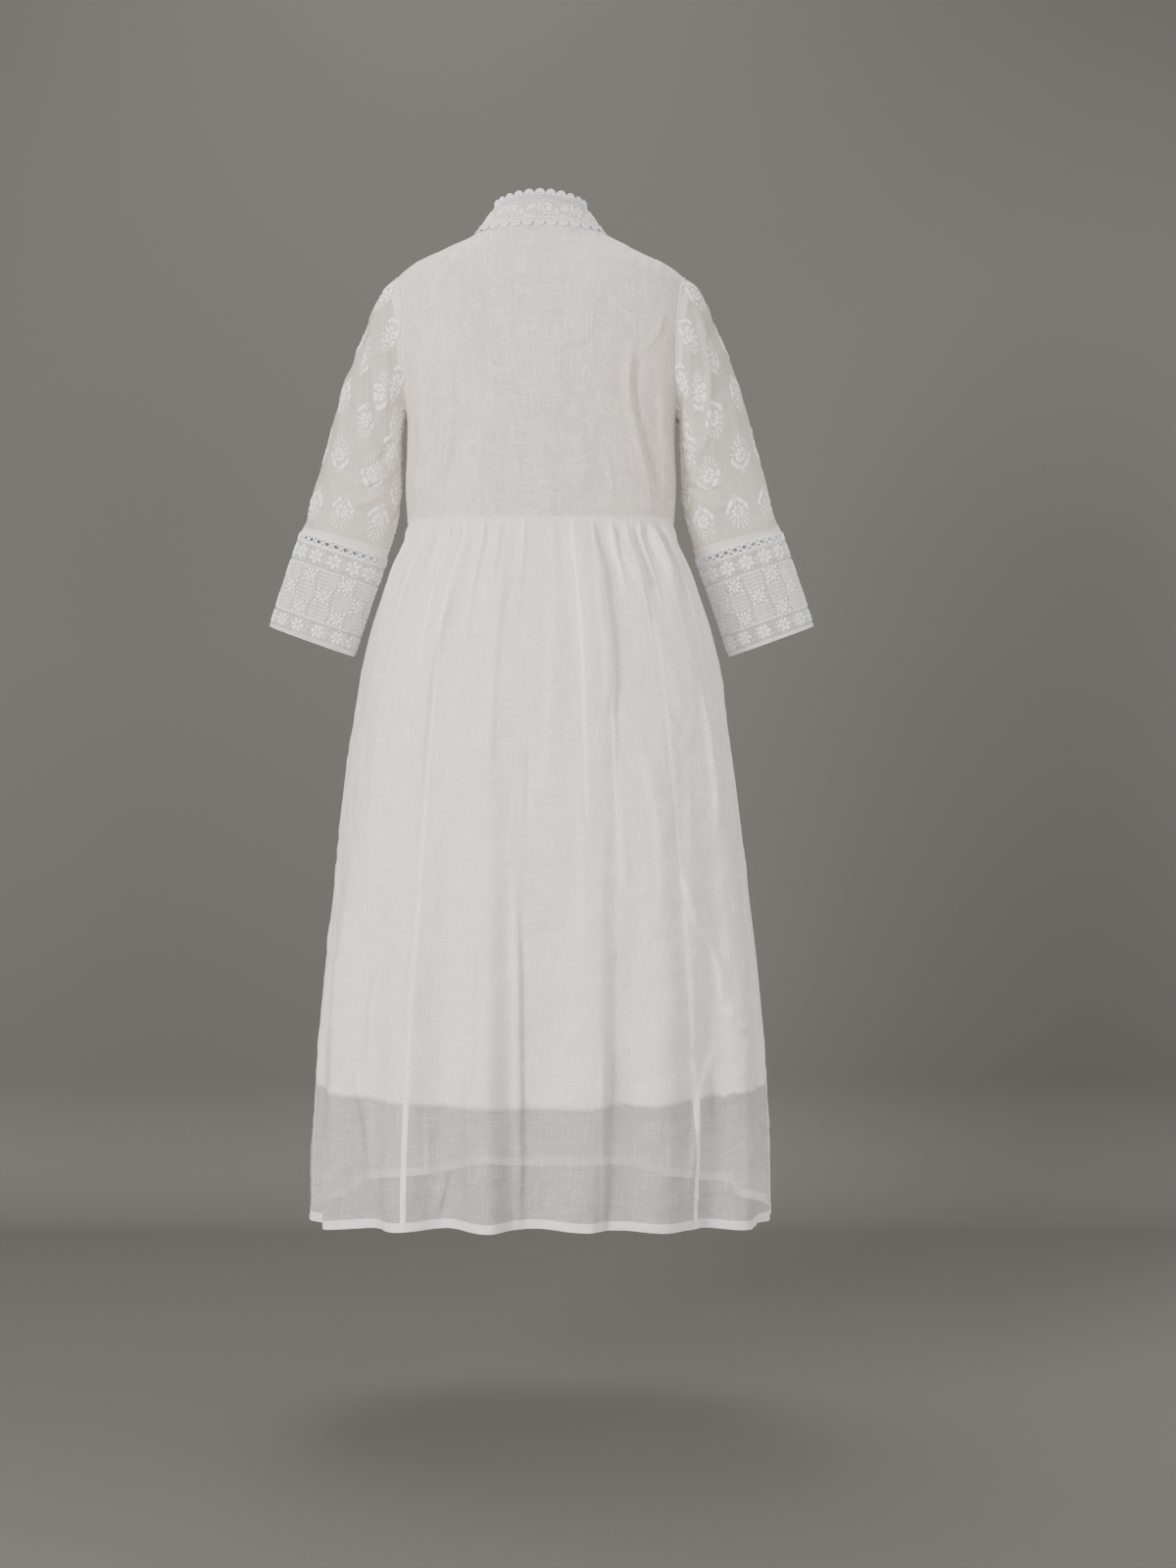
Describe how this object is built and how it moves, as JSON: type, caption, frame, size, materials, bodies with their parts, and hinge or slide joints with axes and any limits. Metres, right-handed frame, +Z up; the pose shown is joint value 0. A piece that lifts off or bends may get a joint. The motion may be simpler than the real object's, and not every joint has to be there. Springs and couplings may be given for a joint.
{
  "type": "anarkali gown",
  "caption": "Ankle-clearing white anarkali gown as worn: band collar, plain bodice, gathered skirt with a shorter lining, three-quarter embroidered sleeves with lace cuffs.",
  "frame": {"origin": "between the two neck ends of the shoulder seams, where the gown hangs on its wearer", "axes": "+Z up, towards the wearer's head; the front faces -Y; the wearer's right is -X"},
  "size_m": [0.679, 0.4056, 1.2568],
  "materials": {
    "skirt_voile": "matte",
    "bodice_voile": "matte",
    "sleeve_organza": "sheer",
    "lining_voile": "matte",
    "cuff_lace": "lace",
    "collar_embroidery": "embroidered",
    "crochet_lace": "lace"
  },
  "bodies": {
    "root": {"back_bodice": "bodice_voile", "front_bodice": "bodice_voile", "back_skirt": "skirt_voile", "front_skirt": "skirt_voile", "back_lining": "lining_voile", "front_lining": "lining_voile", "right_sleeve": "sleeve_organza", "left_sleeve": "sleeve_organza", "right_sleeve_lace": "crochet_lace", "left_sleeve_lace": "crochet_lace", "right_cuff": "cuff_lace", "left_cuff": "cuff_lace", "collar_band": "collar_embroidery", "collar_edge_lace": "crochet_lace", "neck_seam_lace": "crochet_lace"}
  },
  "joints": []
}
